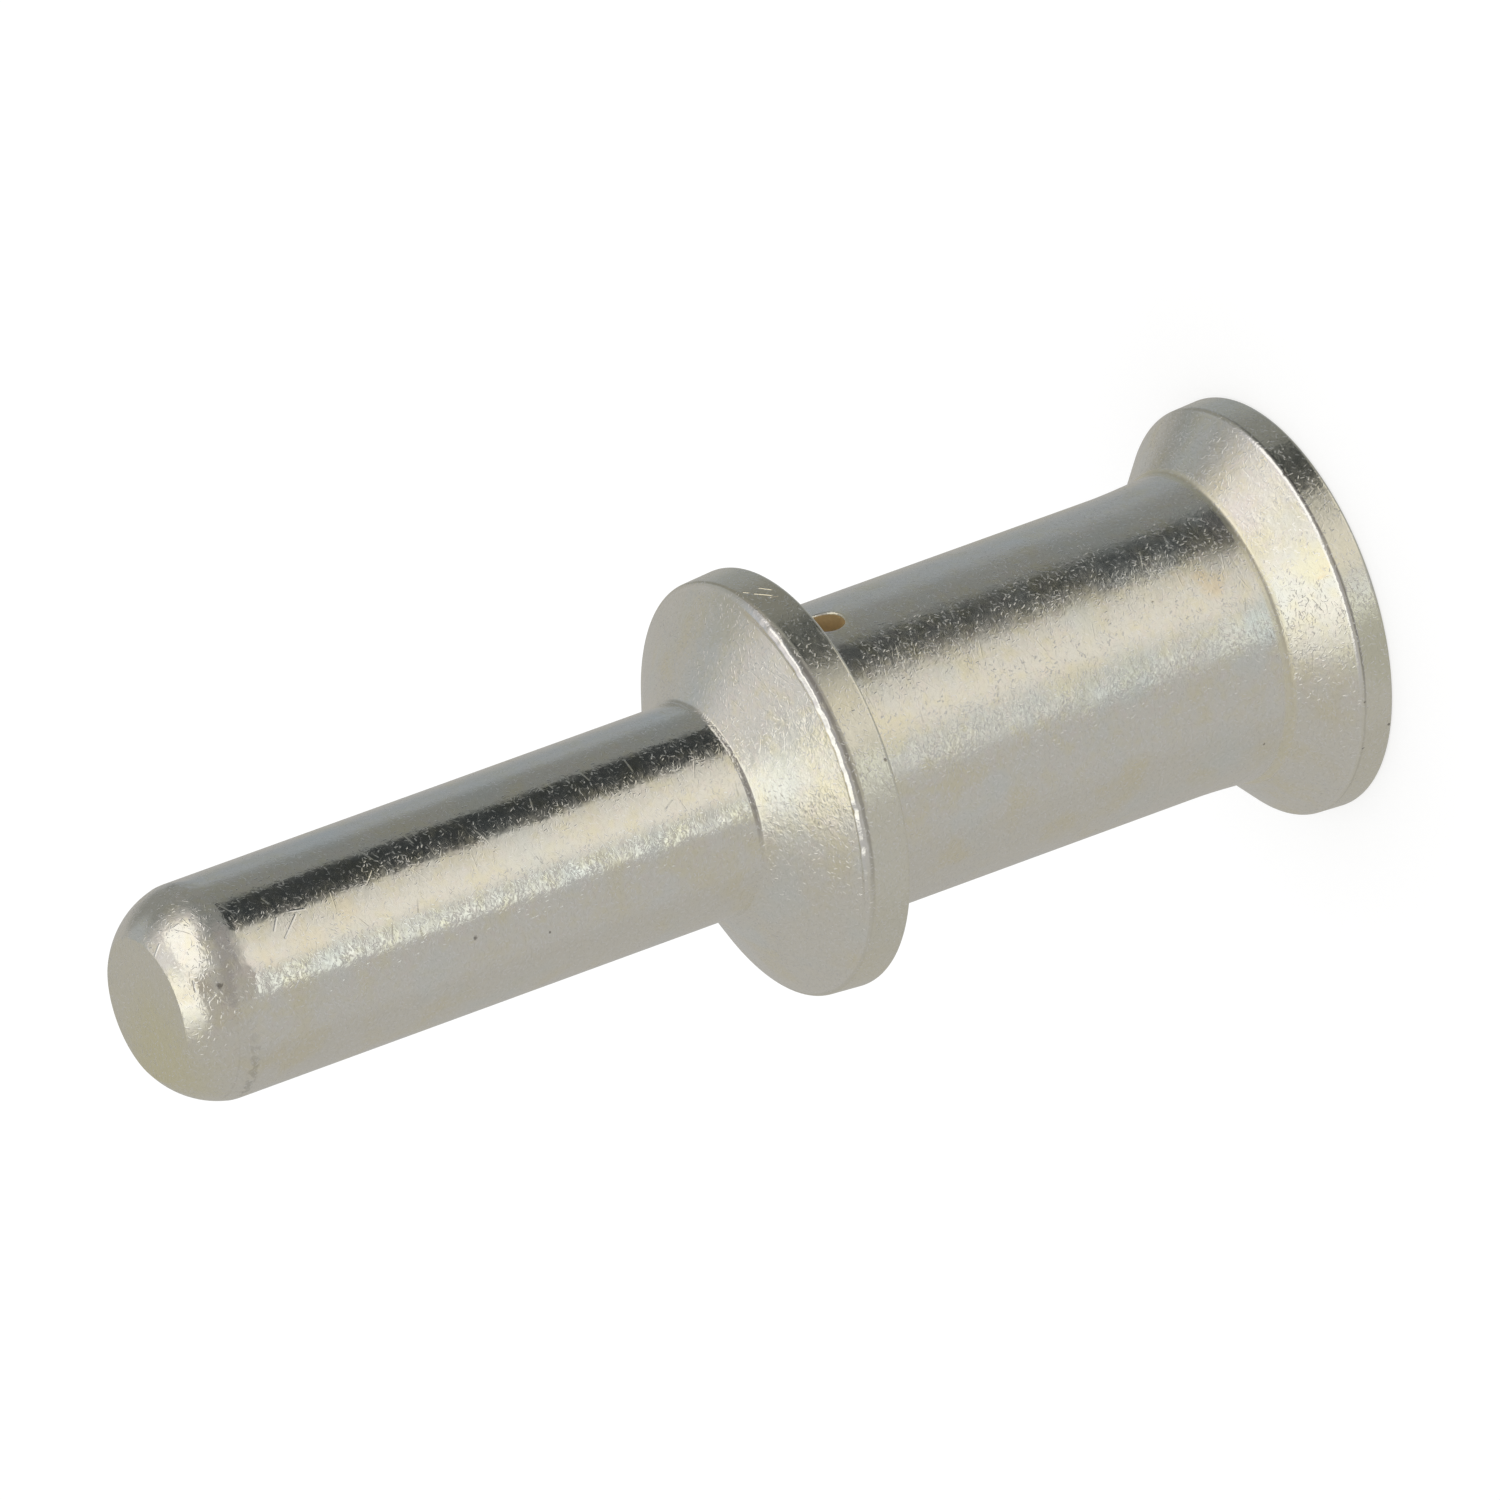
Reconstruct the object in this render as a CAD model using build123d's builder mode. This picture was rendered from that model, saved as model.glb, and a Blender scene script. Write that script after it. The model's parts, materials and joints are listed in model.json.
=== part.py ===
from build123d import *
import math
import os

# A turned and plated crimp contact pin, in one piece. It stands on the rear face
# of its flange, with the nose of the pin straight up. The origin is the centre of
# that rear face, +Z runs along the turning axis, and the sight hole faces -Y.
# All sizes are in millimetres.

# Pin, the stretch that goes into the mating socket
pin_diameter = 6.0
pin_length = 17.42
nose_length = 1.6
nose_lead_angle = 9.0
nose_flat_diameter = 4.0

# Collar between the pin and the crimp barrel
collar_step = 1.65
collar_front_drop = 0.08
collar_rim_width = 1.1
collar_cone_length = 1.73

# Crimp barrel, the hollow stretch that is squeezed onto the wire
crimp_bore_diameter = 6.6
barrel_wall = 0.965
barrel_length = 13.15
bore_floor_setback = 0.3
drill_point_angle = 118.0
mouth_chamfer = 0.3

# Sight hole, through one side of the crimp barrel just behind the collar
sight_hole_diameter = 1.0
sight_hole_setback = 1.39

# Slight flare of the crimp barrel where it runs into the flange
flare_length = 1.5
flare_rise = 0.1
flare_radius = 18.0

# Flange round the mouth of the crimp barrel
flange_step = 1.56
flange_front_drop = 0.05
flange_rim_width = 0.94
flange_cone_length = 1.4

# Corner radii left by the turning tool, and the broken outer edges
flange_root_radius = 0.2
collar_root_radius = 0.2
pin_root_radius = 0.2
broken_edge_radius = 0.12

# Radii that follow from the sizes above
pin_radius = pin_diameter / 2
nose_flat_radius = nose_flat_diameter / 2
crimp_bore_radius = crimp_bore_diameter / 2
barrel_radius = crimp_bore_radius + barrel_wall
flared_radius = barrel_radius + flare_rise
collar_radius = barrel_radius + collar_step
collar_front_radius = collar_radius - collar_front_drop
flange_radius = barrel_radius + flange_step
flange_front_radius = flange_radius - flange_front_drop

# Heights above the flange's rear face
flange_cone_base = flange_rim_width
barrel_base = flange_cone_base + flange_cone_length
flare_top = barrel_base + flare_length
collar_base = barrel_base + barrel_length
collar_cone_base = collar_base + collar_rim_width
pin_base = collar_cone_base + collar_cone_length
overall_length = pin_base + pin_length
nose_base = overall_length - nose_length
nose_lead = math.radians(nose_lead_angle)
bore_floor = collar_base - bore_floor_setback
bore_tip = bore_floor + crimp_bore_radius / math.tan(math.radians(drill_point_angle / 2))
sight_hole_height = collar_base - sight_hole_setback

os.makedirs("parts", exist_ok=True)

with BuildPart() as contact_pin:
    # The outside, as half of the turned section: flange, flared crimp barrel, collar
    # and pin, with each corner's own radius. The nose then leaves the pin's side at its
    # lead angle and rounds over to the flat end
    with BuildSketch(Plane.XZ):
        with BuildLine():
            flanks = FilletPolyline(
                (0, 0),
                (flange_radius, 0),
                (flange_front_radius, flange_cone_base),
                (flared_radius, barrel_base),
                (barrel_radius, flare_top),
                (barrel_radius, collar_base),
                (collar_radius, collar_base),
                (collar_front_radius, collar_cone_base),
                (pin_radius, pin_base),
                (pin_radius, nose_base),
                radius=(
                    broken_edge_radius,
                    broken_edge_radius,
                    flange_root_radius,
                    flare_radius,
                    collar_root_radius,
                    broken_edge_radius,
                    broken_edge_radius,
                    pin_root_radius,
                ),
            )
            nose = TangentArc(
                flanks @ 1,
                (nose_flat_radius, overall_length),
                tangent=(-math.sin(nose_lead), math.cos(nose_lead)),
            )
            Polyline(nose @ 1, (0, overall_length), (0, 0))
        make_face()
    revolve(axis=Axis.Z)

    # The blind crimp bore, chamfered at its mouth and ending in the drill's cone
    with BuildSketch(Plane.XZ):
        with BuildLine():
            Polyline(
                (0, 0),
                (crimp_bore_radius + mouth_chamfer, 0),
                (crimp_bore_radius, mouth_chamfer),
                (crimp_bore_radius, bore_floor),
                (0, bore_tip),
                close=True,
            )
        make_face()
    revolve(axis=Axis.Z, mode=Mode.SUBTRACT)

    # The sight hole, drilled from the -Y side into the bore
    with BuildSketch(Plane.XZ):
        with Locations((0, sight_hole_height)):
            Circle(sight_hole_diameter / 2)
    extrude(amount=collar_radius, mode=Mode.SUBTRACT)

contact_pin.part.label = "contact_pin"
export_step(contact_pin.part, "parts/contact_pin.step")
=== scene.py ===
import json
import math

import bpy
import numpy as np
from mathutils import Matrix, Vector


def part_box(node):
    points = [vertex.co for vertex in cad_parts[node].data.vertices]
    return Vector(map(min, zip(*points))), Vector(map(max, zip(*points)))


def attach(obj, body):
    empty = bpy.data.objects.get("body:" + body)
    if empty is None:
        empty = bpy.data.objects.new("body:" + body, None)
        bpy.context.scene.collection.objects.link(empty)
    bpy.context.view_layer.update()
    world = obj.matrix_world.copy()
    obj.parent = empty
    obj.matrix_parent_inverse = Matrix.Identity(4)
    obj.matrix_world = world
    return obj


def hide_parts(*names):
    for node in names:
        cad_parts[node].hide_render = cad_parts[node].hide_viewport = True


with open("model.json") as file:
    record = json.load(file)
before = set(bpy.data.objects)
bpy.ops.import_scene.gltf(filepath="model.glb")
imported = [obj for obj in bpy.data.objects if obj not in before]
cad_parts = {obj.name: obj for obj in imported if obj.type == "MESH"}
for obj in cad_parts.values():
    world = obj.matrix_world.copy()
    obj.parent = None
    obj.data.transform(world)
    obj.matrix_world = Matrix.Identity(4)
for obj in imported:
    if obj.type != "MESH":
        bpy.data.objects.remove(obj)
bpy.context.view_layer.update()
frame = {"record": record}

MM = 0.001

# Sizes of the contact in millimetres. The radii of the pin and the bore come from the frame's
# mounts, and the whole length from the box of the CAD's node
mounts = {mount["name"]: mount for mount in frame["record"]["mounts"]}
pin_radius = mounts["pin"]["dims"]["r_mm"]
bore_radius = mounts["crimp_bore"]["dims"]["r_mm"]
overall_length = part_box("contact_pin")[1][2] / MM

barrel_radius = 4.265
flared_radius = 4.365
collar_radius = 5.915
collar_front_radius = 5.835
flange_radius = 5.825
flange_front_radius = 5.775
nose_flat_radius = 2.0

flange_cone_base = 0.94
barrel_base = 2.34
flare_top = 3.84
collar_base = 15.49
collar_cone_base = 16.59
pin_base = 18.32
nose_base = 34.14
bore_floor = 15.19
bore_tip = 17.173
mouth_chamfer = 0.3

root_radius = 0.2
flare_radius = 18.0
nose_lead = math.radians(9)
nose_arc_start = 0.2
nose_base_radius = 1.5
nose_edge_radius = 0.05
collar_front_edge_radius = 0.12
flange_front_edge_radius = 0.18
rear_edge_radius = 0.12
inner_edge_radius = 0.04

sight_hole_radius = 0.5
sight_hole_height = 14.1

# The burr on the collar's front edge, on its worn side: its two corners as (radius, height), how
# far down the rim and in across the cone it reaches, the azimuth of its middle in degrees, the
# cosines of the angle from there at which it starts and at which it is whole, and how much
# sine waves, each as waves round the contact and a shift, make it ragged
burr_outer = (5.78, 16.76)
burr_inner = (5.665, 16.86)
burr_outer_rounding = 0.12
burr_inner_rounding = 0.04
burr_down = 0.07
burr_across = 0.33
burr_azimuth = 215
burr_start_cosine = 0.5
burr_whole_cosine = 0.95
burr_raggedness = 0.08
burr_waves = [(41, 0), (67, 1), (103, 2)]

# How finely the turned surface is divided: columns round the axis, rows along the section, and
# how far from a corner the nearest row of a straight run lies, in millimetres
columns = 300
burr_rows = 24
arc_rows = 8
nose_rows = 24
row_spacing = 0.55
corner_gap = 0.02

# The window of each wall that is divided anew round the sight hole, the rings that fill it, and
# where the rows of the hole's own wall lie, as shares of the way in
window_half_columns = 9
window_half_height = 0.8
window_rows = 18
hole_rings = 6
hole_wall_shares = [0.0, 0.03, 0.35, 0.65, 0.97, 1.0]


def run(start, end):
    """Points on a straight run from start to end, evenly spaced from close to one end to
    close to the other, so that the shading stays flat up to the corners. The two ends are
    left out."""
    start, end = np.array(start, float), np.array(end, float)
    length = np.linalg.norm(end - start)
    count = max(2, round(length / row_spacing) + 1)
    inner = np.linspace(corner_gap, length - corner_gap, count)
    return start + (end - start) * (inner / length)[:, None]


def corner(before, at, after, radius):
    """Points on the arc of that radius that touches both legs of the corner at the point
    at: centre plus radius times cosine and sine of an angle swept evenly between the two
    points of touch."""
    before, at, after = (np.array(point, float) for point in (before, at, after))
    leg_in = (before - at) / np.linalg.norm(before - at)
    leg_out = (after - at) / np.linalg.norm(after - at)
    half = math.acos(np.clip(leg_in @ leg_out, -1, 1)) / 2
    middle = (leg_in + leg_out) / np.linalg.norm(leg_in + leg_out)
    centre = at + middle * radius / math.sin(half)
    touch = at + leg_in * radius / math.tan(half) - centre
    leave = at + leg_out * radius / math.tan(half) - centre
    first = math.atan2(touch[1], touch[0])
    sweep = (math.atan2(leave[1], leave[0]) - first + math.pi) % (2 * math.pi) - math.pi
    angle = first + sweep * np.linspace(0, 1, arc_rows)
    return centre + radius * np.stack([np.cos(angle), np.sin(angle)], 1)


def rounded_path(points, radii):
    """The polyline through points with each inner corner rounded to its radius: arcs and
    runs in turn, as one array of (radius, height) rows, without the first and last point."""
    arcs = [corner(*points[i : i + 3], radii[i]) for i in range(len(radii))]
    starts = [np.array(points[0], float)] + [arc[-1] for arc in arcs]
    ends = [arc[0] for arc in arcs] + [np.array(points[-1], float)]
    pieces = []
    for i, (start, end) in enumerate(zip(starts, ends)):
        pieces.append(run(start, end))
        if i < len(arcs):
            pieces.append(arcs[i])
    return np.concatenate(pieces)


def evenly(path, count):
    """That many points evenly spaced along a polyline, with its two ends among them."""
    along = np.concatenate([[0], np.cumsum(np.linalg.norm(np.diff(path, axis=0), axis=1))])
    place = np.linspace(0, along[-1], count)
    return np.stack([np.interp(place, along, path[:, i]) for i in range(2)], 1)


def collar_edge_rows():
    """The collar's front edge from the cone to the rim, once plain, with its corner rounded, and
    once with the burr. Both have the same count of rows and the same two ends."""
    at = np.array([collar_front_radius, collar_cone_base])
    cone = np.array([pin_radius, pin_base]) - at
    rim = np.array([collar_radius, collar_base]) - at
    inner_end = at + cone * burr_across / -cone[0]
    outer_end = at + rim * burr_down / -rim[1]
    plain = corner(inner_end, at, outer_end, collar_front_edge_radius)
    points = [inner_end, burr_inner, burr_outer, outer_end]
    burred = rounded_path(points, [burr_inner_rounding, burr_outer_rounding])
    return [
        evenly(np.concatenate([[inner_end], middle, [outer_end]]), burr_rows)
        for middle in (plain, burred)
    ]


def burr_share(angle):
    """How much of the burr stands at a column's angle: eased from 0 to 1 as the cosine of
    the angle from its middle goes from its start to where it is whole, times 1 plus the
    sum of the sine waves times the raggedness. That can go above 1."""
    near = np.cos(angle - math.radians(burr_azimuth + 90))
    span = burr_whole_cosine - burr_start_cosine
    eased = np.clip((near - burr_start_cosine) / span, 0, 1)
    ragged = sum(np.sin(waves * angle + shift) for waves, shift in burr_waves)
    return eased**2 * (3 - 2 * eased) * (1 + burr_raggedness * ragged)


def split_at(rows, low, high, count):
    """The rows of a straight upright wall, with the ones between the two heights replaced
    by count + 1 evenly spaced ones. Also gives the index of the first of these."""
    wall = rows[0, 0]
    heights = rows[:, 1]
    rising = heights[-1] > heights[0]
    between = np.linspace(low, high, count + 1) if rising else np.linspace(high, low, count + 1)
    below = rows[heights < low - corner_gap]
    above = rows[heights > high + corner_gap]
    before, after = (below, above) if rising else (above, below)
    window = np.stack([np.full(count + 1, wall), between], 1)
    return np.concatenate([before, window, after]), len(before)


def band(loops):
    """Four-sided faces between each closed loop of point numbers and the next one."""
    onward = np.roll(loops, -1, axis=1)
    return np.stack([loops[:-1], loops[1:], onward[1:], onward[:-1]], -1).reshape(-1, 4)


def on_cylinder(radius, across, height):
    """Points of the cylinder of that radius at a distance across to the side of the -Y
    line and at that height."""
    return np.stack([across, -np.sqrt(radius**2 - across**2), height], -1)


def contact_profile():
    """The section of the contact as (radius, height) rows, from beside the centre of the
    nose down the outside to the mouth, and up the bore to beside the drill's tip, with the
    collar's edge plain. Also gives the first window row on the barrel and on the bore, and
    the first row of the collar's edge."""
    base = np.array([pin_radius, nose_base])
    end = np.array([nose_flat_radius, overall_length])
    inward = np.array([-math.cos(nose_lead), -math.sin(nose_lead)])
    nose_radius = (end - base) @ (end - base) / (2 * (end - base) @ inward)
    centre = base + inward * nose_radius
    last = math.atan2(*(end - centre)[::-1]) - nose_edge_radius / nose_radius
    # The arc starts a little above the nose's base and stops a little short of the flat end,
    # where roundings of their own take over
    tilt = np.linspace(last, nose_lead + nose_arc_start / nose_radius, nose_rows)
    nose = centre + nose_radius * np.stack([np.cos(tilt), np.sin(tilt)], 1)
    leaving = np.array([-math.sin(last), math.cos(last)])
    crease = nose[0] + leaving * (overall_length - nose[0, 1]) / leaving[1]
    nose_edge = corner((0, overall_length), crease, nose[0], nose_edge_radius)
    lead_in = base + np.array([-math.sin(nose_lead), math.cos(nose_lead)])
    nose_foot = corner(lead_in, base, (pin_radius, pin_base), nose_base_radius)
    edge = collar_edge_rows()[0]
    front = rounded_path([nose_foot[-1], (pin_radius, pin_base), edge[0]], [root_radius])
    outside = rounded_path(
        [
            edge[-1],
            (collar_radius, collar_base),
            (barrel_radius, collar_base),
            (barrel_radius, flare_top),
            (flared_radius, barrel_base),
            (flange_front_radius, flange_cone_base),
            (flange_radius, 0),
            (bore_radius + mouth_chamfer, 0),
            (bore_radius, mouth_chamfer),
            (bore_radius, bore_floor),
            (0, bore_tip),
        ],
        [
            rear_edge_radius,
            root_radius,
            flare_radius,
            root_radius,
            flange_front_edge_radius,
            rear_edge_radius,
            inner_edge_radius,
            inner_edge_radius,
            inner_edge_radius,
        ],
    )
    flat = run((0, overall_length), nose_edge[0])
    before_edge = np.concatenate([flat, nose_edge, nose, nose_foot, front])
    rows = np.concatenate([before_edge, edge, outside])
    low = sight_hole_height - window_half_height
    high = sight_hole_height + window_half_height
    windows = []
    for wall in (barrel_radius, bore_radius):
        on_wall = np.isclose(rows[:, 0], wall, rtol=0, atol=1e-6) & (rows[:, 1] < collar_base)
        first, last = np.flatnonzero(on_wall)[[0, -1]]
        stretch, start = split_at(rows[first : last + 1], low, high, window_rows)
        rows = np.concatenate([rows[:first], stretch, rows[last + 1 :]])
        windows.append(first + start)
    return rows, windows, len(before_edge)


def window_outline(index, start, inward):
    """The point numbers round the window whose first row is start, in one closed loop. On
    the inward wall, the bore's, the rows run up and are taken in turn from the last."""
    left = columns // 2 - window_half_columns
    right = columns // 2 + window_half_columns
    down = np.arange(start, start + window_rows + 1)
    if inward:
        down = down[::-1]
    return np.concatenate(
        [
            index[down[0], left:right],
            index[down[:-1], right],
            index[down[-1], right:left:-1],
            index[down[:0:-1], left],
        ]
    )


def rings_to_hole(outline, radius):
    """Rings of points on the wall of that radius, which go in even steps from a window's
    outline, left out, to the round lip of the sight hole. Also gives the angle round the
    hole of each point of a ring."""
    across = radius * np.arctan2(outline[:, 0], -outline[:, 1])
    height = outline[:, 2] - sight_hole_height
    turn = np.arctan2(height, across)
    lip = sight_hole_radius + inner_edge_radius
    share = np.linspace(0, 1, hole_rings + 1)[1:, None]
    ring_across = across * (1 - share) + lip * np.cos(turn) * share
    ring_height = height * (1 - share) + lip * np.sin(turn) * share
    sideways = radius * np.sin(ring_across / radius)
    return on_cylinder(radius, sideways, ring_height + sight_hole_height), turn


def hole_wall(turn):
    """Rings of points down the sight hole's own wall at those angles round the hole. It
    runs straight through between the two lips."""
    share = np.array(hole_wall_shares)[:, None]
    x = sight_hole_radius * np.cos(turn)
    z = sight_hole_radius * np.sin(turn) + sight_hole_height
    outer_y = -np.sqrt(barrel_radius**2 - x**2) + inner_edge_radius
    inner_y = -np.sqrt(bore_radius**2 - x**2) - inner_edge_radius
    y = outer_y * (1 - share) + inner_y * share
    return np.stack([x + 0 * share, y, z + 0 * share], -1)


def turned_contact():
    """The whole contact: the profile turned about the Z axis, x = radius times sine and
    y = minus radius times cosine of the column's angle, with a pole at the nose and one at
    the drill's tip, and the sight hole let into the barrel's wall on the -Y side. On the
    collar's front edge each column is the plain section plus its share of the burr."""
    profile, windows, edge_start = contact_profile()
    count = len(profile)
    angle = 2 * np.pi * (np.arange(columns) - columns // 2) / columns
    plain_edge, burred_edge = collar_edge_rows()
    section = np.repeat(profile[:, None, :], columns, axis=1)
    burr = (burred_edge - plain_edge)[:, None, :] * burr_share(angle)[:, None]
    section[edge_start : edge_start + burr_rows] += burr
    x = section[..., 0] * np.sin(angle)
    y = -section[..., 0] * np.cos(angle)
    z = section[..., 1]
    points = [np.stack([x, y, z], -1).reshape(-1, 3)]
    points.append([[0, 0, overall_length], [0, 0, bore_tip]])
    index = np.arange(count * columns).reshape(count, columns)
    ahead = np.roll(index, -1, axis=1)
    quads = band(index).reshape(count - 1, columns, 4)
    keep = np.ones(quads.shape[:2], bool)
    centre = columns // 2
    sides = slice(centre - window_half_columns, centre + window_half_columns)
    for start in windows:
        keep[start : start + window_rows, sides] = False
    faces = quads[keep].tolist()
    nose_pole, drill_pole = count * columns, count * columns + 1
    faces += np.stack([np.full(columns, nose_pole), index[0], ahead[0]], -1).tolist()
    faces += np.stack([np.full(columns, drill_pole), ahead[-1], index[-1]], -1).tolist()

    # Each window is filled with rings that go from its square outline to the round hole
    total = count * columns + 2
    lips = []
    for start, radius in zip(windows, (barrel_radius, bore_radius)):
        inward = radius == bore_radius
        outline = window_outline(index, start, inward)
        rings, turn = rings_to_hole(points[0][outline], radius)
        points.append(rings.reshape(-1, 3))
        numbers = total + np.arange(len(rings) * len(outline)).reshape(len(rings), -1)
        total += numbers.size
        patch = band(np.concatenate([outline[None], numbers]))
        faces += (patch[:, ::-1] if inward else patch).tolist()
        lips.append(numbers[-1:])

    wall = hole_wall(turn)
    points.append(wall.reshape(-1, 3))
    numbers = total + np.arange(len(wall) * len(turn)).reshape(len(wall), -1)
    faces += band(np.concatenate([lips[0], numbers, lips[1]])).tolist()
    return np.concatenate([np.array(block, float).reshape(-1, 3) for block in points]), faces


def mesh_piece(name, points, faces):
    """A smooth-shaded object at the origin from points in millimetres and faces."""
    mesh = bpy.data.meshes.new(name)
    mesh.from_pydata((points * MM).tolist(), [], faces)
    mesh.validate()
    mesh.update()
    mesh.shade_smooth()
    piece = bpy.data.objects.new(name, mesh)
    bpy.context.collection.objects.link(piece)
    return piece


class Term:
    """One output socket. Sums, differences, products, quotients and powers of terms and
    numbers add Math nodes to its tree."""

    def __init__(self, tree, socket):
        self.tree = tree
        self.socket = socket

    def math(self, operation, *others):
        """A Math node of that operation on this term and the others."""
        values = dict(enumerate((self,) + others))
        return self.tree.add("ShaderNodeMath", {"operation": operation}, values)

    def __add__(self, other):
        return self.math("ADD", other)

    def __radd__(self, other):
        return self.math("ADD", other)

    def __sub__(self, other):
        return self.math("SUBTRACT", other)

    def __rsub__(self, other):
        return self.tree.add("ShaderNodeMath", {"operation": "SUBTRACT"}, {0: other, 1: self})

    def __mul__(self, other):
        return self.math("MULTIPLY", other)

    def __truediv__(self, other):
        return self.math("DIVIDE", other)

    def __pow__(self, other):
        return self.math("POWER", other)


class Tree:
    """A node tree that is written by adding one node at a time."""

    def __init__(self, node_tree):
        self.node_tree = node_tree
        node_tree.nodes.clear()

    def add(self, kind, settings=None, inputs=None, output=0):
        """Adds a node of that kind, sets its settings first and then its sockets, each to
        a value or a link, and gives one of its outputs as a term."""
        node = self.node_tree.nodes.new(kind)
        for name, value in (settings or {}).items():
            setattr(node, name, value)
        for name, value in (inputs or {}).items():
            if isinstance(value, Term):
                self.node_tree.links.new(value.socket, node.inputs[name])
            else:
                node.inputs[name].default_value = value
        return Term(self, node.outputs[output]) if len(node.outputs) else node

    def also(self, term, output):
        """Another output of the node that a term comes from."""
        return Term(self, term.socket.node.outputs[output])

    def vector(self, operation, *values):
        """A Vector Math node's vector."""
        return self.add("ShaderNodeVectorMath", {"operation": operation}, dict(enumerate(values)))

    def scaled(self, vector, factor):
        """A vector times a number."""
        return self.add(
            "ShaderNodeVectorMath", {"operation": "SCALE"}, {0: vector, "Scale": factor}
        )

    def dot(self, one, other):
        """The dot product of two vectors."""
        return self.add(
            "ShaderNodeVectorMath", {"operation": "DOT_PRODUCT"}, {0: one, 1: other}, "Value"
        )

    def length(self, one):
        """How long a vector is."""
        return self.add("ShaderNodeVectorMath", {"operation": "LENGTH"}, {0: one}, "Value")

    def ramp(self, value, low, high, start=0.0, end=1.0):
        """Eases a value from start at low to end at high."""
        return self.add(
            "ShaderNodeMapRange",
            {"interpolation_type": "SMOOTHSTEP", "clamp": True},
            {"Value": value, "From Min": low, "From Max": high, "To Min": start, "To Max": end},
        )

    def blend(self, share, one, other):
        """A colour between one and other."""
        return self.add(
            "ShaderNodeMix",
            {"data_type": "RGBA", "clamp_factor": True},
            {0: share, 6: one, 7: other},
            2,
        )


# The camera: a long lens, looking down on the standing contact and rolled so that the nose
# points to the lower left of the picture
camera_place = Vector((-505.24, -323.22, 313.06)) * MM
camera_right = Vector((-0.534603, 0.063292, -0.842730)).normalized()
camera_up = Vector((0.377895, -0.874040, -0.305369)).normalized()
camera_forward = camera_up.cross(camera_right).normalized()
camera_up = camera_right.cross(camera_forward).normalized()


def add_camera():
    """Sets up the camera at its place, facing along its own three directions."""
    data = bpy.data.cameras.new("camera")
    data.sensor_width = 36
    data.lens = 600
    data.clip_start = 0.01
    data.clip_end = 20
    camera = bpy.data.objects.new("camera", data)
    bpy.context.collection.objects.link(camera)
    turn = Matrix((camera_right, camera_up, -camera_forward)).transposed()
    camera.matrix_world = Matrix.Translation(camera_place) @ turn.to_4x4()
    bpy.context.scene.camera = camera


# The studio round the contact, in directions of its own: it is level when the camera looks
# down at this angle
studio_pitch = math.radians(34.5)
studio_up = camera_up * math.cos(studio_pitch) - camera_forward * math.sin(studio_pitch)
studio_ahead = camera_forward * math.cos(studio_pitch) + camera_up * math.sin(studio_pitch)
studio_right = camera_right


def toward(azimuth, elevation):
    """The direction at an azimuth, from straight ahead to the right, and an elevation."""
    a, e = math.radians(azimuth), math.radians(elevation)
    level = studio_ahead * math.cos(a) + studio_right * math.sin(a)
    return level * math.cos(e) + studio_up * math.sin(e)


def panel(tree, direction, azimuth, elevation, width, height, roll, soft_side, soft_end):
    """How much of a rectangular panel lies in a direction, from 0 to 1. The panel faces
    the contact from that azimuth and elevation. Its half width, half height and soft edges
    are tangents of the angles that they span."""
    middle = toward(azimuth, elevation)
    level = middle.cross(studio_up).normalized()
    steep = level.cross(middle).normalized()
    turn = math.radians(roll)
    across = level * math.cos(turn) + steep * math.sin(turn)
    along = steep * math.cos(turn) - level * math.sin(turn)
    depth = tree.dot(direction, middle)
    reach = depth.math("MAXIMUM", 0.001)
    x = (tree.dot(direction, across) / reach).math("ABSOLUTE")
    y = (tree.dot(direction, along) / reach).math("ABSOLUTE")
    inside_x = tree.ramp(x, width - soft_side, width + soft_side, 1, 0)
    inside_y = tree.ramp(y, height - soft_end, height + soft_end, 1, 0)
    return inside_x * inside_y * tree.ramp(depth, 0.0, 0.05)


# What stands round the contact, each painted over the ones before: azimuth, elevation, half
# width, half height, roll, softness of the sides and of the ends, and colour
studio_panels = {
    "wall behind the camera": (179, 35, 0.92, 1.03, -12, 0.22, 0.18, (0.425, 0.409, 0.382)),
    "dim ceiling behind": (164, 55, 0.17, 0.86, 8, 0.11, 0.15, (0.328, 0.313, 0.313)),
    "low wall ahead": (-2, 4, 0.43, 0.26, -8, 0.14, 0.31, (0.316, 0.339, 0.365)),
    "dim wall ahead": (-30, 17, 0.28, 0.48, -4, 0.14, 0.20, (0.256, 0.258, 0.245)),
    "left light": (-91, 40, 0.39, 0.67, -20, 0.37, 0.31, (0.738, 0.704, 0.686)),
    "left light's bright wing": (-136, 10, 0.35, 0.42, -31, 0.02, 0.33, (1.072, 1.053, 0.976)),
    "right light": (86, 45, 0.54, 0.39, -8, 0.09, 0.34, (0.815, 0.782, 0.718)),
    "right wall": (115, -4, 0.67, 0.66, -25, 0.09, 0.20, (0.463, 0.456, 0.446)),
    "right light's bright hem": (123, 25, 0.05, 0.18, 3, 0.04, 0.03, (1.139, 1.185, 1.124)),
    "gap between the lights": (28, 62, 0.30, 0.13, 44, 0.03, 0.06, (0.034, 0.038, 0.040)),
    "left light's middle": (-111, 52, 0.55, 0.29, 9, 0.11, 0.03, (1.06, 1.03, 0.97)),
}


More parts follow.
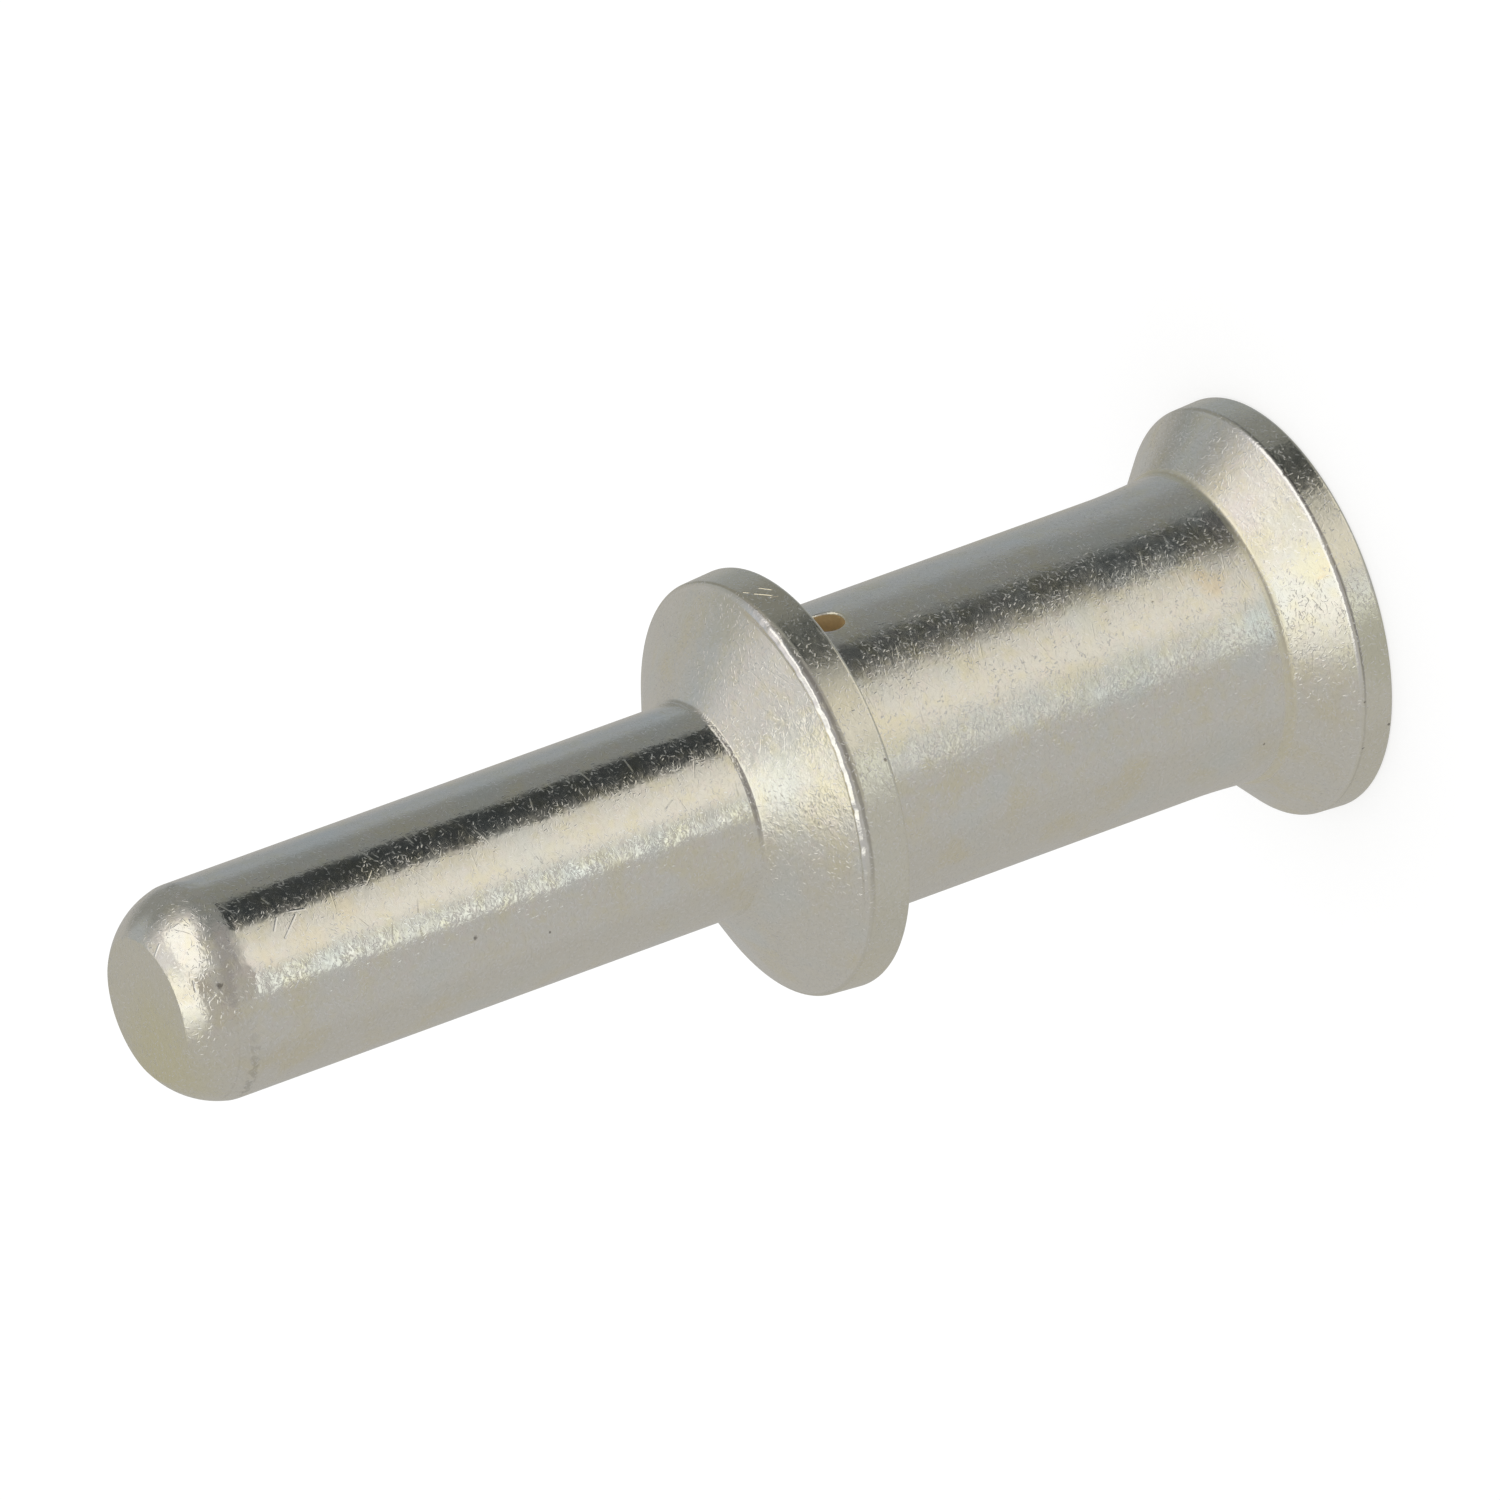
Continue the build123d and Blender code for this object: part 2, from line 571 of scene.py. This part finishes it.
def studio_world():
    """White to the camera and to matt surfaces. Metal and glass see the studio: the table
    below, grey walls that darken upwards, and a soft light on each side."""
    world = bpy.data.worlds.new("studio")
    bpy.context.scene.world = world
    world.use_nodes = True
    tree = Tree(world.node_tree)
    direction = tree.add("ShaderNodeTexCoord", output="Generated")
    height = tree.dot(direction, studio_up)
    table = (0.441, 0.430, 0.411, 1)
    low_wall = (0.384, 0.402, 0.417, 1)
    high_wall = (0.226, 0.233, 0.228, 1)
    shade = tree.blend(tree.ramp(height, -0.12, 0.0), table, low_wall)
    shade = tree.blend(tree.ramp(height, 0.18, 0.42), shade, high_wall)
    for *place, colour in studio_panels.values():
        shade = tree.blend(panel(tree, direction, *place), shade, (*colour, 1))
    path = tree.add("ShaderNodeLightPath", output="Is Glossy Ray")
    sees_studio = path.math("MAXIMUM", tree.also(path, "Is Transmission Ray"))
    studio = tree.add("ShaderNodeBackground", None, {"Color": shade, "Strength": 1.0})
    plain = tree.add("ShaderNodeBackground", None, {"Color": (1, 1, 1, 1), "Strength": 1.0})
    mixed = tree.add("ShaderNodeMixShader", None, {0: sees_studio, 1: plain, 2: studio})
    tree.add("ShaderNodeOutputWorld", None, {"Surface": mixed})


def add_floor():
    """A plain pale floor under the flange, which keeps a faint shadow. Its glow, which the
    camera alone sees, brings its grey up to the white behind it."""
    half_side = 4.0
    grey = 0.4
    glow_strength = 0.65
    points = np.array([(-1, -1, 0), (1, -1, 0), (1, 1, 0), (-1, 1, 0)]) * half_side / MM
    floor = mesh_piece("floor", points, [[0, 1, 2, 3]])
    material = bpy.data.materials.new("pale_floor")
    material.use_nodes = True
    tree = Tree(material.node_tree)
    path = tree.add("ShaderNodeLightPath", output="Is Camera Ray")
    paint = tree.add("ShaderNodeBsdfDiffuse", None, {"Color": (grey, grey, grey, 1)})
    strength = path * glow_strength
    glow = tree.add("ShaderNodeEmission", None, {"Color": (1, 1, 1, 1), "Strength": strength})
    both = tree.add("ShaderNodeAddShader", None, {0: paint, 1: glow})
    tree.add("ShaderNodeOutputMaterial", None, {"Surface": both})
    floor.data.materials.append(material)
    floor.visible_glossy = False


def strokes(tree, place, normal, cell, share, long, wide, lean, seed):
    """Short straight marks scattered over the surface, as a mask from 0 to 1 that is
    highest along each mark's middle. Space is divided into cells; a share of them carries
    one mark each, in a random direction along the surface that leans round the axis."""
    moved = tree.vector("ADD", place, (seed, seed * 2.3, seed * 3.7))
    heart = tree.add(
        "ShaderNodeTexVoronoi",
        {"voronoi_dimensions": "3D", "feature": "F1"},
        {"Vector": moved, "Scale": 1 / cell},
        "Position",
    )
    chance = tree.also(heart, "Color")
    offset = tree.vector("SUBTRACT", moved, heart)
    around = tree.vector("NORMALIZE", tree.vector("CROSS_PRODUCT", (0, 0, 1), normal))
    aim = tree.vector("SUBTRACT", chance, (0.5, 0.5, 0.5))
    aim = tree.vector("ADD", aim, tree.scaled(around, lean))
    across = tree.vector("NORMALIZE", tree.vector("CROSS_PRODUCT", aim, normal))
    along = tree.vector("CROSS_PRODUCT", normal, across)
    sideways = tree.dot(offset, across).math("ABSOLUTE")
    lengthways = tree.dot(offset, along).math("ABSOLUTE")
    draw = tree.add("ShaderNodeTexWhiteNoise", {"noise_dimensions": "3D"}, {"Vector": chance})
    middle = tree.ramp(sideways, 0.0, wide, 1, 0)
    ends = tree.ramp(lengthways, long * 0.5, long, 1, 0)
    return middle * ends * draw.math("LESS_THAN", share)


def on_surface(azimuth, radius, height):
    """The point at an azimuth, in degrees from +X, a distance from the axis and a height."""
    turn = math.radians(azimuth)
    return (radius * math.cos(turn), radius * math.sin(turn), height)


def line_mark(tree, place, start, end, wide):
    """A straight mark between two points of the surface, as a mask that is 1 along its
    middle and falls to 0 at the distance wide from it."""
    start, end = Vector(on_surface(*start)), Vector(on_surface(*end))
    reach = end - start
    offset = tree.vector("SUBTRACT", place, tuple(start))
    share = tree.dot(offset, tuple(reach / reach.length_squared))
    share = share.math("MAXIMUM", 0.0).math("MINIMUM", 1.0)
    nearest = tree.scaled(tuple(reach), share)
    away = tree.length(tree.vector("SUBTRACT", offset, nearest))
    return tree.ramp(away, 0.0, wide, 1, 0)


# Marks that stand out, each from one point to another, as azimuth, radius and height, and
# how far the metal is raised there, or sunk where that is below zero
long_scratches = [
    ((223.4, 3.0, 32.60), (232.9, 3.0, 32.03), 0.006),
    ((235.9, 3.0, 32.11), (234.3, 3.0, 31.71), 0.007),
    ((234.9, 3.0, 32.56), (228.8, 3.0, 32.80), 0.006),
    ((198.0, 3.0, 32.80), (200.9, 3.0, 32.63), 0.008),
    ((251.8, 2.05, 35.70), (255.0, 2.27, 35.52), 0.012),
    ((220.0, 2.46, 35.31), (213.4, 2.44, 35.34), -0.010),
    ((205.1, 2.59, 35.15), (207.9, 2.70, 34.97), -0.008),
]
golden_scrapes = [
    ((269.8, 5.87, 16.25), (266.2, 5.88, 15.95), 0.030),
    ((271.5, 5.88, 16.00), (268.5, 5.89, 15.80), 0.025),
    ((272.6, 5.86, 16.42), (271.4, 5.87, 16.34), 0.040),
    ((265.6, 5.87, 16.00), (265.0, 5.88, 15.86), 0.040),
]
# How far from its middle each of these marks reaches
long_scratch_reach = 0.045
golden_scrape_reach = 0.05

# Stained spots, as azimuth, radius, height, reach, share and colour
stained_spots = [
    (270.0, 5.90, 16.00, 2.4, 0.60, (0.80, 0.74, 0.58, 1)),
    (227.0, 5.86, 16.25, 0.9, 0.35, (0.95, 0.89, 0.68, 1)),
    (228.0, 4.28, 3.74, 0.5, 0.60, (0.94, 0.80, 0.58, 1)),
    (232.0, 4.27, 4.60, 0.5, 0.40, (0.94, 0.82, 0.60, 1)),
    (219.0, 5.41, 1.31, 0.9, 0.60, (0.95, 0.90, 0.64, 1)),
    (215.4, 5.47, 1.24, 0.3, 0.50, (0.95, 0.78, 0.52, 1)),
    (245.7, 4.51, 2.20, 1.0, 0.50, (0.91, 0.84, 0.82, 1)),
    (208.8, 4.34, 2.80, 0.9, 0.50, (0.80, 0.88, 0.88, 1)),
    (205.0, 4.26, 7.00, 1.2, 0.40, (0.80, 0.88, 0.88, 1)),
    (192.0, 5.80, 0.42, 1.5, 0.60, (0.79, 0.78, 0.60, 1)),
    (210.0, 5.80, 0.45, 0.4, 0.50, (0.80, 0.80, 0.80, 1)),
    (118.0, 1.30, 35.74, 2.6, 0.90, (0.89, 0.85, 0.60, 1)),
    (219.7, 3.00, 32.03, 0.7, 0.50, (0.95, 0.87, 0.66, 1)),
    (225.7, 3.00, 30.55, 0.6, 0.50, (0.95, 0.87, 0.66, 1)),
    (216.0, 3.00, 33.31, 0.5, 0.50, (0.95, 0.87, 0.66, 1)),
    (212.0, 2.99, 34.00, 0.5, 0.50, (0.92, 0.84, 0.82, 1)),
    (218.0, 2.45, 35.30, 0.7, 0.60, (0.76, 0.70, 0.58, 1)),
]
# Small pits, as azimuth, radius, height and size
small_pits = [
    (189.9, 3.0, 27.29, 0.08),
    (178.4, 3.0, 25.03, 0.05),
    (211.8, 2.80, 34.79, 0.11),
    (176.8, 5.78, 0.90, 0.05),
    (161.0, 5.78, 0.86, 0.05),
    (166.9, 5.82, 0.11, 0.06),
    (245.2, 5.78, 0.91, 0.10),
    (158.0, 4.32, 3.07, 0.05),
    (227.5, 4.26, 5.60, 0.05),
    (208.4, 5.90, 15.65, 0.07),
]


# Colours of the plating, of its stains and wear, of its painted highlight and painted shade,
# and of the base metal
silver = (0.90, 0.885, 0.815, 1)
warm_stain = (0.905, 0.865, 0.71, 1)
yellow_stain = (0.92, 0.87, 0.66, 1)
rosy_stain = (0.915, 0.86, 0.80, 1)
cool_stain = (0.85, 0.89, 0.875, 1)
rim_stain = (0.89, 0.865, 0.735, 1)
worn_silver_and_highlight = (0.975, 0.97, 0.955, 1)
painted_shade_grey = (0.40, 0.385, 0.36, 1)
pit_shade_brown = (0.16, 0.14, 0.12, 1)
gold = (0.88, 0.71, 0.42, 1)
pale_gold = (0.96, 0.88, 0.66, 1)

# Cloudy stains, each painted over the ones before: scale, detail and seed of the noise, the
# values of it at which the stain starts and is full, its share on the far side and on the
# worn side, and its colour
cloudy_stains = [
    (0.7, 3.0, 11.0, 0.48, 0.70, 1.00, 1.0, warm_stain),
    (2.2, 3.0, 83.0, 0.46, 0.70, 0.10, 0.6, yellow_stain),
    (4.0, 3.0, 13.0, 0.48, 0.70, 0.15, 0.6, rosy_stain),
    (0.5, 4.0, 37.0, 0.50, 0.72, 0.60, 0.6, cool_stain),
]

# How high or how deep each part of the relief is, in millimetres
relief_depths = {
    "lumps": 0.0030,
    "dents": 0.0007,
    "bumps": 0.0012,
    "scratches": 0.0030,
    "turned rings": 0.0025,
    "scuffs": 0.0015,
    "pits": 0.004,
    "worn edges": 0.008,
    "nose shoulder": 0.06,
    "dents of the shoulder": 0.12,
    "wear of the nose": 0.02,
    "root of the pin": 0.04,
    "waves": 0.013,
}

# The side that is worn most and faces the lights, where the edges get a painted highlight
# and a line of painted shade, and a streak along the contact with a stronger relief, as
# azimuths in degrees
lit_and_worn_azimuth = 225
streak_azimuth = 198


class Plating:
    """The surface as the plating's nodes know it: the place in millimetres, its height and
    distance from the axis, the marks on it and the zones where it differs. A mark or zone
    is a mask that is 0 away from it. Each method adds nodes to the tree."""

    def __init__(self, tree):
        self.tree = tree
        self.place = tree.scaled(tree.add("ShaderNodeTexCoord", output="Object"), 1 / MM)
        parts = tree.add("ShaderNodeSeparateXYZ", None, {"Vector": self.place})
        self.height = tree.also(parts, "Z")
        self.outward = tree.vector("MULTIPLY", self.place, (1, 1, 0))
        self.radius = tree.length(self.outward)
        self.normal = tree.add(
            "ShaderNodeVectorTransform",
            {"vector_type": "NORMAL", "convert_from": "WORLD", "convert_to": "OBJECT"},
            {"Vector": tree.add("ShaderNodeNewGeometry", output="Normal")},
        )
        self.ragged = self.cloud(2.6, 3.0, 23.0) * 0.10 - 0.05
        self.find_marks()
        self.find_zones()

    def cloud(self, scale, detail, seed):
        """Noise with about scale lumps to the millimetre. Another seed gives another noise."""
        moved = self.tree.vector("ADD", self.place, (seed, seed * 1.7, seed * 2.9))
        inputs = {"Vector": moved, "Scale": scale, "Detail": detail}
        return self.tree.add("ShaderNodeTexNoise", None, inputs)

    def shaken(self, scale, amount):
        """The place, moved by noise by up to half the amount along each axis."""
        inputs = {"Vector": self.place, "Scale": scale, "Detail": 3.0}
        push = self.tree.add("ShaderNodeTexNoise", None, inputs, "Color")
        push = self.tree.vector("SUBTRACT", push, (0.5, 0.5, 0.5))
        return self.tree.vector("ADD", self.place, self.tree.scaled(push, amount))

    def near_ring(self, ring_radius, ring_height, near, far):
        """1 up to the distance near from a ring round the axis, and 0 from the distance far."""
        across = self.radius - ring_radius
        along = self.height - ring_height
        away = (across * across + along * along) ** 0.5
        return self.tree.ramp(away, near, far, 1, 0)

    def off_line(self, line_height, raggedness=0.0):
        """How far the surface lies above or below a line round the contact at that height."""
        offset = self.height - line_height
        if raggedness:
            offset = offset + self.ragged * raggedness
        return offset.math("ABSOLUTE")

    def toward(self, azimuth):
        """The cosine of the angle between this side of the contact and an azimuth."""
        outward = self.tree.vector("NORMALIZE", self.outward)
        return self.tree.dot(outward, on_surface(azimuth, 1, 0))

    def lines(self, marks, reach):
        """The mask of a list of straight marks, and how far they raise the metal."""
        mask = 0.0
        raised = 0.0
        for start, end, rise in marks:
            line = line_mark(self.tree, self.place, start, end, reach)
            mask = line + mask
            raised = line * rise + raised
        return mask, raised

    def find_marks(self):
        """The strokes all over the surface, and the marks that stand out."""
        tree = self.tree
        where = (tree, self.place, self.normal)
        self.dents = strokes(
            *where, cell=0.16, share=0.75, long=0.09, wide=0.024, lean=0.5, seed=3.0
        )
        self.bumps = strokes(
            *where, cell=0.22, share=0.6, long=0.10, wide=0.024, lean=0.4, seed=19.0
        )
        self.flecks = strokes(
            *where, cell=0.13, share=0.35, long=0.07, wide=0.022, lean=0.0, seed=41.0
        )
        self.scratches = strokes(
            *where, cell=1.1, share=0.5, long=0.30, wide=0.026, lean=0.9, seed=53.0
        )
        self.bright_lines, scratched = self.lines(long_scratches, long_scratch_reach)
        self.golden_lines, scraped = self.lines(golden_scrapes, golden_scrape_reach)
        self.raised = scratched + scraped
        shaky = self.shaken(12.0, 0.12)
        self.pits = 0.0
        for *spot, size in small_pits:
            away = tree.length(tree.vector("SUBTRACT", shaky, on_surface(*spot)))
            self.pits = tree.ramp(away, size * 0.3, size, 1, 0) + self.pits

    def find_zones(self):
        """The golden inside, the rims and the tip, the worn edges, which get a painted highlight
        on the side toward the lights, with a line of painted shade beside them, the roots of pin
        and flange, and the scuffs round the foot of the nose."""
        tree, radius, height = self.tree, self.radius, self.height
        facing = self.facing = self.toward(lit_and_worn_azimuth)

        inside = tree.ramp(radius, barrel_radius - 0.07, barrel_radius - 0.03, 1, 0)
        inside = inside * tree.ramp(height, 0.0, mouth_chamfer)
        self.inside = inside * tree.ramp(height, bore_tip + 0.05, bore_tip + 0.15, 1, 0)
        rims = tree.ramp(radius, flange_front_radius - 0.06, flange_front_radius - 0.02)
        tip = tree.ramp(height, overall_length - 0.03, overall_length - 0.01)
        self.ends = rims.math("MAXIMUM", tip)

        flange_edge = self.near_ring(
            flange_front_radius - 0.04, flange_cone_base + 0.03, near=0.03, far=0.08
        )
        collar_edge = tree.ramp(radius, burr_inner[0] - 0.04, burr_inner[0])
        collar_edge = collar_edge * tree.ramp(radius, burr_outer[0], burr_outer[0] + 0.03, 1, 0)
        collar_edge = collar_edge * tree.ramp(height, collar_cone_base - 0.05, collar_cone_base)
        edges = collar_edge.math("MAXIMUM", flange_edge)
        # Worn edges; on the side toward the lights their bright colour is partly a painted
        # highlight
        self.worn_and_highlit = edges * tree.ramp(facing, 0.68, 0.80, 0.2, 1)

        # Lines of painted shade beside the front edges of collar and flange, strongest on the
        # side toward the lights
        collar_shade_line = self.off_line(collar_cone_base + 0.05, raggedness=0.6)
        collar_shade_line = tree.ramp(collar_shade_line, 0.03, 0.08, 0.7, 0)
        flange_shade_line = self.off_line(flange_cone_base - 0.06, raggedness=0.5)
        flange_shade_line = tree.ramp(flange_shade_line, 0.01, 0.05, 1, 0)
        painted_shade_lines = collar_shade_line.math("MAXIMUM", flange_shade_line) * rims
        self.painted_shade_lines = painted_shade_lines * tree.ramp(facing, 0.55, 0.90, 0.2, 0.9)

        # The pin's root, whose crease gets a line of painted shade and a rougher relief
        pin_root = self.near_ring(pin_radius + 0.04, pin_base + 0.04, near=0.02, far=0.09)
        self.pin_root = pin_root * tree.ramp(facing, 0.70, 0.95)
        self.flange_root = self.near_ring(
            flared_radius + 0.03, barrel_base + 0.03, near=0.10, far=0.22
        )

        patchy = tree.ramp(self.cloud(5.0, 4.0, 49.0), 0.47, 0.57)
        nose_foot = tree.ramp(self.off_line(nose_base + 0.06), 0.08, 0.20, 1, 0) * patchy
        nose_foot = nose_foot * tree.ramp(facing, 0.3, 0.9, 1, 0.2)
        turned_line = self.off_line(nose_base + 0.48, raggedness=0.4)
        turned_line = tree.ramp(turned_line, 0.0, 0.045, 0.4, 0)
        turned_line = turned_line * tree.ramp(facing, 0.4, 0.9, 1, 0.1)
        self.scuffs = nose_foot.math("MAXIMUM", turned_line)

    def colour(self):
        """Silver under cloudy stains and stained spots, with painted shade in the dents, then
        painted shade beside the edges and at the pin's root, worn metal lightened by painted
        glints and a painted highlight, painted shade in the pits and the golden base metal, each
        over the ones before."""
        tree = self.tree
        colour = silver
        for scale, detail, seed, low, high, far_share, worn_share, stain in cloudy_stains:
            share = tree.ramp(self.facing, 0.4, 0.9, far_share, worn_share)
            share = tree.ramp(self.cloud(scale, detail, seed), low, high) * share
            colour = tree.blend(share, colour, stain)
        colour = tree.blend(self.ends * 0.7, colour, rim_stain)
        wavy = self.shaken(1.6, 1.4)
        for *spot, reach, share, stain in stained_spots:
            away = tree.length(tree.vector("SUBTRACT", wavy, on_surface(*spot)))
            colour = tree.blend(tree.ramp(away, reach * 0.2, reach, share, 0), colour, stain)
        colour = tree.blend(self.flange_root * 0.6, colour, yellow_stain)

        # Random tone, with painted shade in the dents
        shade = 0.95 + self.cloud(9.0, 2.0, 91.0) * 0.10 - self.dents * 0.08
        colour = tree.scaled(colour, shade - self.scuffs * 0.20)
        # Painted shade beside the edges and in the crease at the pin's root
        painted_shade = self.painted_shade_lines.math("MAXIMUM", self.pin_root * 0.6)
        colour = tree.blend(painted_shade, colour, painted_shade_grey)

        # Painted glints: bumps, flecks and long scratches lightened in colour, partly bright wear
        painted_glints_and_wear = (self.bumps * 0.5).math("MAXIMUM", self.bright_lines * 0.9)
        painted_glints_and_wear = painted_glints_and_wear.math("MAXIMUM", self.flecks)
        # Painted highlight on the worn edges, on the side toward the lights
        patchy = tree.ramp(self.cloud(3.0, 2.0, 29.0), 0.30, 0.45, 0.6, 1.0)
        painted_glints_and_wear = painted_glints_and_wear.math("MAXIMUM", self.worn_and_highlit * patchy)
        colour = tree.blend(painted_glints_and_wear, colour, worn_silver_and_highlight)
        # Painted shade in the pits
        colour = tree.blend(self.pits * 0.7, colour, pit_shade_brown)
        colour = tree.blend(self.golden_lines, colour, pale_gold)
        return tree.blend(self.inside, colour, gold)

    def turned_rings(self):
        """Fine lines round the barrel's two roots, left by turning."""
        tree, height = self.tree, self.height
        rings = tree.add(
            "ShaderNodeTexNoise",
            {"noise_dimensions": "1D"},
            {"W": height, "Scale": 9.0, "Detail": 2.0},
        )
        ringed = tree.ramp(height, barrel_base + 0.6, barrel_base + 1.9, 1, 0)
        ringed = ringed * tree.ramp(height, barrel_base - 0.1, barrel_base + 0.1)
        ringed = ringed + tree.ramp(height, collar_base - 1.2, collar_base - 0.3, 0, 0.6)
        return rings * (ringed * tree.ramp(height, collar_base - 0.1, collar_base, 1, 0))

    def wear(self):
        """How strong the fine relief is: it differs from flange to nose, is stronger on
        the streak and weaker on the worn edges, and changes from patch to patch."""
        tree, height = self.tree, self.height
        streak = tree.ramp(self.toward(streak_azimuth), 0.980, 0.998, 0, 0.5)
        wear = tree.ramp(height, barrel_base - 0.1, barrel_base + 0.1, 1.3, 1.1)
        wear = wear + tree.ramp(height, collar_cone_base, collar_cone_base + 0.1, 0, 0.4)
        wear = wear - tree.ramp(height, pin_base - 0.1, pin_base + 0.2, 0, 0.6)
        wear = wear * (streak + 1.0) * (1.0 - self.worn_and_highlit * 0.7)
        wear = wear + tree.ramp(height, nose_base - 0.3, nose_base + 0.5, 0, 0.7)
        return wear * tree.ramp(self.cloud(0.9, 2.0, 73.0), 0.35, 0.62, 0.5, 1.5)

    def relief(self):
        """The height of the relief in millimetres: the fine relief times its wear, then
        the marks, the worn edges, the nose's soft shoulder and long shallow waves."""
        tree, height, depths = self.tree, self.height, relief_depths
        specks = tree.ramp(height, pin_base - 0.1, pin_base + 0.2, 0.0034, 0.0024)
        grains = tree.ramp(height, pin_base - 0.1, pin_base + 0.2, 0.0012, 0.0005)
        relief = self.cloud(6.5, 1.0, 71.0) * depths["lumps"]
        relief = relief - self.dents * depths["dents"] + self.bumps * depths["bumps"]
        relief = relief + self.flecks * specks + self.cloud(13.0, 1.0, 17.0) * grains
        relief = relief * self.wear()

        relief = relief - self.scratches * depths["scratches"]
        relief = relief + self.turned_rings() * depths["turned rings"]
        relief = relief - self.scuffs * depths["scuffs"]
        relief = relief + self.raised - self.pits * depths["pits"]
        relief = relief + self.worn_and_highlit * self.cloud(9.0, 2.0, 61.0) * depths["worn edges"]

        shoulder = tree.ramp(height, nose_base - 0.55, nose_base + 0.15, 1, 0)
        relief = relief + shoulder * depths["nose shoulder"]
        slope = shoulder * (1.0 - shoulder)
        slope_dents = slope * self.cloud(2.0, 1.0, 101.0)
        relief = relief + slope_dents * depths["dents of the shoulder"]
        nose_wear = tree.ramp(self.off_line(nose_base), 0.2, 0.8, 1, 0)
        nose_wear = nose_wear * self.cloud(1.6, 2.0, 67.0)
        relief = relief + nose_wear * depths["wear of the nose"]
        root = self.pin_root * self.cloud(8.0, 2.0, 43.0)
        relief = relief + root * depths["root of the pin"]
        return relief + self.cloud(1.2, 3.0, 97.0) * depths["waves"]

    def roughness(self):
        """Satin, a little rougher on the barrel than on the pin, smoother on the worn
        edges, and rougher inside and at the flange's root."""
        tree = self.tree
        roughness = tree.ramp(self.cloud(5.0, 3.0, 5.0), 0.3, 0.7, 0.12, 0.17)
        roughness = roughness + tree.ramp(self.height, pin_base - 0.3, pin_base + 0.3, 0.08, 0)
        return roughness - self.worn_and_highlit * 0.13 + self.inside * 0.25 + self.flange_root * 0.1


def silver_plating():
    """Satin silver plating, tumbled with other parts: yellowish and bluish stains, a fine
    grain, dense short dents and bumps, a few scratches and pits, and turning lines round
    the barrel's roots. The dents and pits carry painted shade, and bumps and scratches
    painted glints. The front edges of collar and flange are worn, and on the side toward
    the lights a painted highlight makes them bright, with a line of painted shade beside
    them. The crimp bore and the sight hole show the golden base metal."""
    material = bpy.data.materials.new("silver_plating")
    material.use_nodes = True
    tree = Tree(material.node_tree)
    plating = Plating(tree)
    colour = plating.colour()
    relief = plating.relief()
    bump = tree.add("ShaderNodeBump", None, {"Height": relief * MM, "Distance": 1.0})
    metal = tree.add(
        "ShaderNodeBsdfPrincipled",
        None,
        {
            "Base Color": colour,
            "Metallic": 1.0 - plating.inside * 0.5,
            "Roughness": plating.roughness(),
            "Normal": bump,
        },
    )
    tree.add("ShaderNodeOutputMaterial", None, {"Surface": metal})
    return material


bpy.context.scene.view_settings.view_transform = "Standard"

add_camera()
studio_world()
add_floor()

contact = mesh_piece("contact", *turned_contact())
contact.data.materials.append(silver_plating())
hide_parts("contact_pin")
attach(contact, "root")
